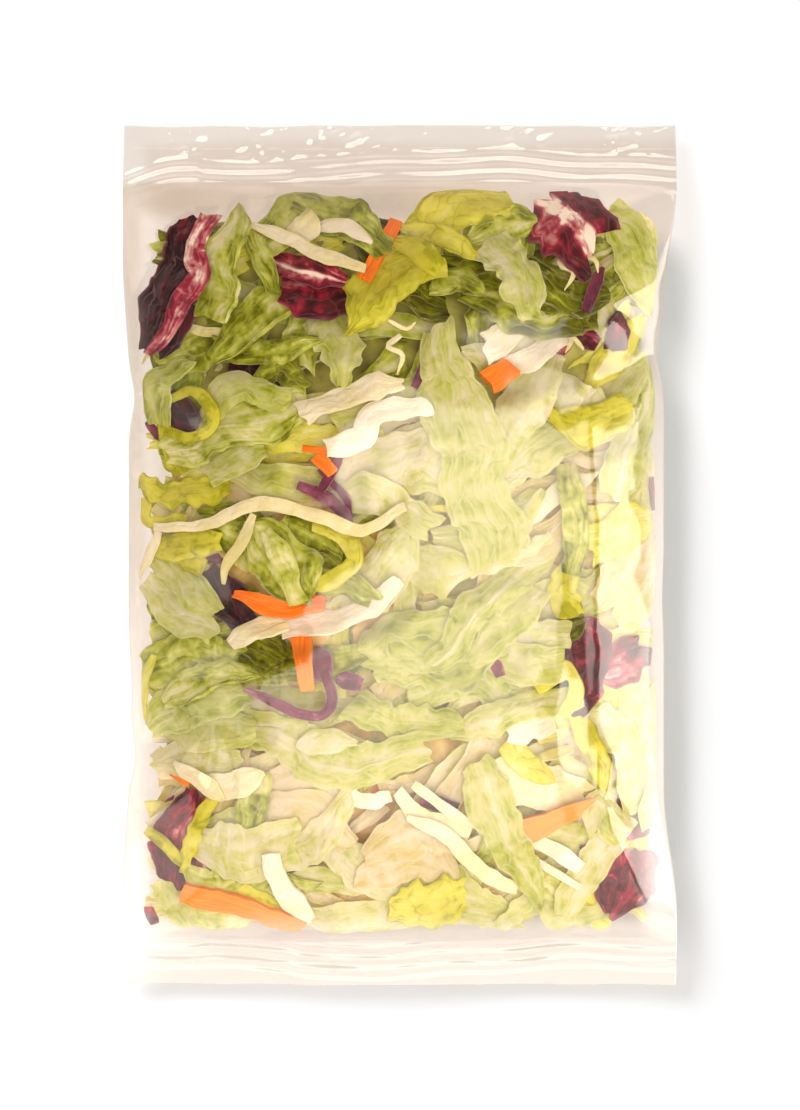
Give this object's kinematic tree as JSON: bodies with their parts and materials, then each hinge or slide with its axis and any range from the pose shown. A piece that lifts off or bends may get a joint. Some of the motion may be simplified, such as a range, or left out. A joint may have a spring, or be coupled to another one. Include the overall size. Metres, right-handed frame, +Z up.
{
  "type": "bag of salad leaves",
  "caption": "Clear pillow bag of film, crimped shut at both ends and packed with cut mixed salad: lettuce, radicchio, cabbage and carrot. It lies flat on its back.",
  "frame": {"origin": "on the floor, under the middle of the bag", "axes": "+X across the bag, +Y along it towards the end seal with the wider lip, +Z up from the floor it lies on"},
  "size_m": [0.18, 0.281, 0.0429],
  "materials": {
    "film": "clear polypropylene film, glossy, with small creases and crimped seals",
    "green_leaf": "moist green lettuce leaf, satin, with pale veins",
    "pale_leaf": "pale yellow-green heart leaf, moist satin, thin enough for light to glow through",
    "white_rib": "cream-white midrib or shredded cabbage, crisp and moist",
    "radicchio": "dark crimson leaf with cream ribs, satin",
    "red_cabbage": "purple sliver with a pale core",
    "carrot": "cut carrot stick, moist, with fine fibres along it"
  },
  "bodies": {
    "root": {"salad_bag": "film"}
  },
  "joints": []
}
